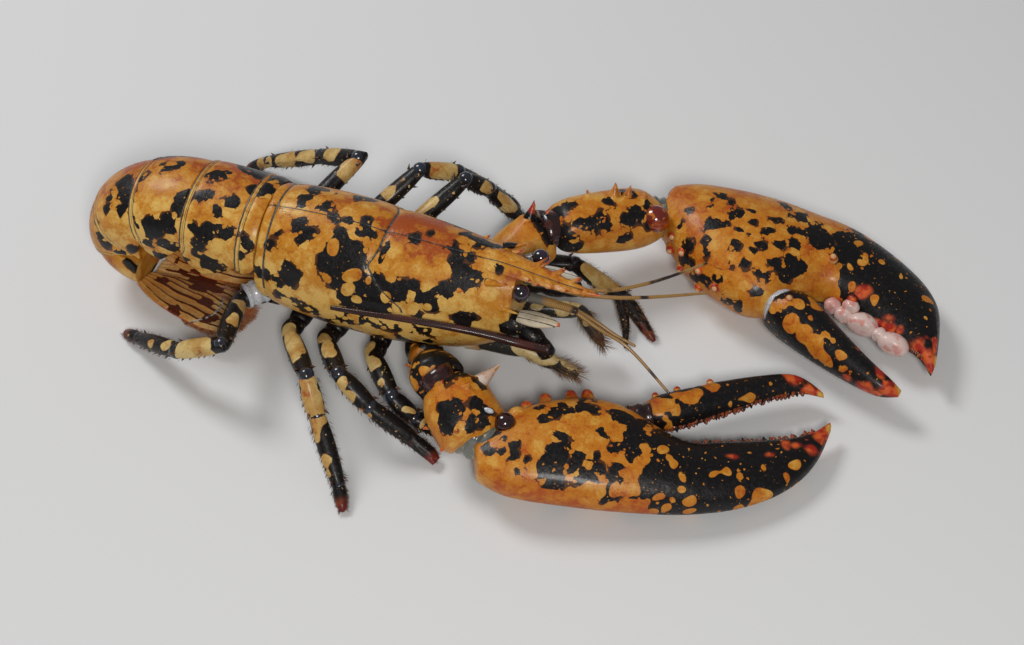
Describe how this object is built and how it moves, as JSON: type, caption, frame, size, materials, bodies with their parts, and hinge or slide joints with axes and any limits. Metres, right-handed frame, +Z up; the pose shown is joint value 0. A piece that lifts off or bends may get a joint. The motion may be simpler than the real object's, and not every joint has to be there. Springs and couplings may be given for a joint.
{
  "type": "american lobster",
  "caption": "Life-size still model of an american lobster at rest, its tail curled under, with a heavy crusher claw on its left and a slimmer cutter claw on its right.",
  "frame": {"origin": "on the floor, under the middle of the model", "axes": "+X towards the animal's front, +Y to the animal's left, +Z up"},
  "size_m": [0.2976, 0.1706, 0.0576],
  "materials": {
    "shell": "ochre shell with black blotches, wet gloss",
    "claw": "orange shell with black blotches, wet gloss",
    "finger": "blackish maroon with orange spots, wet gloss",
    "leg": "cream and black bands",
    "shin": "dark with cream patches",
    "belly": "pale, satin",
    "tail_fan": "cream with dark red stripes",
    "feeler": "dark maroon, ringed",
    "eye": "black, polished"
  },
  "bodies": {
    "root": {"carapace": "shell", "sternum": "belly", "abdomen_1": "shell", "abdomen_2": "shell", "abdomen_3": "shell", "abdomen_4": "shell", "abdomen_5": "shell", "abdomen_6": "shell", "telson": "tail_fan", "uropod_inner_left": "tail_fan", "uropod_inner_right": "tail_fan", "uropod_outer_left": "tail_fan", "uropod_outer_right": "tail_fan", "eye_left": "eye", "eye_right": "eye", "eyestalk_left": "belly", "eyestalk_right": "belly", "antennule_left": "feeler", "antennule_right": "feeler", "antenna_left": "feeler", "antenna_right": "feeler", "antenna_scale_left": "tail_fan", "antenna_scale_right": "tail_fan", "flagellum_left": "feeler", "flagellum_right": "feeler", "maxilliped_left": "leg", "maxilliped_right": "leg", "claw_left": "claw", "claw_right": "claw", "dactyl_left": "finger", "dactyl_right": "finger", "arm_base_left": "leg", "arm_base_right": "leg", "arm_merus_left": "claw", "arm_merus_right": "claw", "arm_carpus_left": "claw", "arm_carpus_right": "claw", "leg_left_2_upper": "leg", "leg_left_2_lower": "shin", "leg_left_3_upper": "leg", "leg_left_3_lower": "shin", "leg_left_4_upper": "leg", "leg_left_4_lower": "shin", "leg_left_5_upper": "leg", "leg_left_5_lower": "shin", "leg_right_2_upper": "leg", "leg_right_2_lower": "shin", "leg_right_3_upper": "leg", "leg_right_3_lower": "shin", "leg_right_4_upper": "leg", "leg_right_4_lower": "shin", "leg_right_5_upper": "leg", "leg_right_5_lower": "shin"}
  },
  "joints": []
}
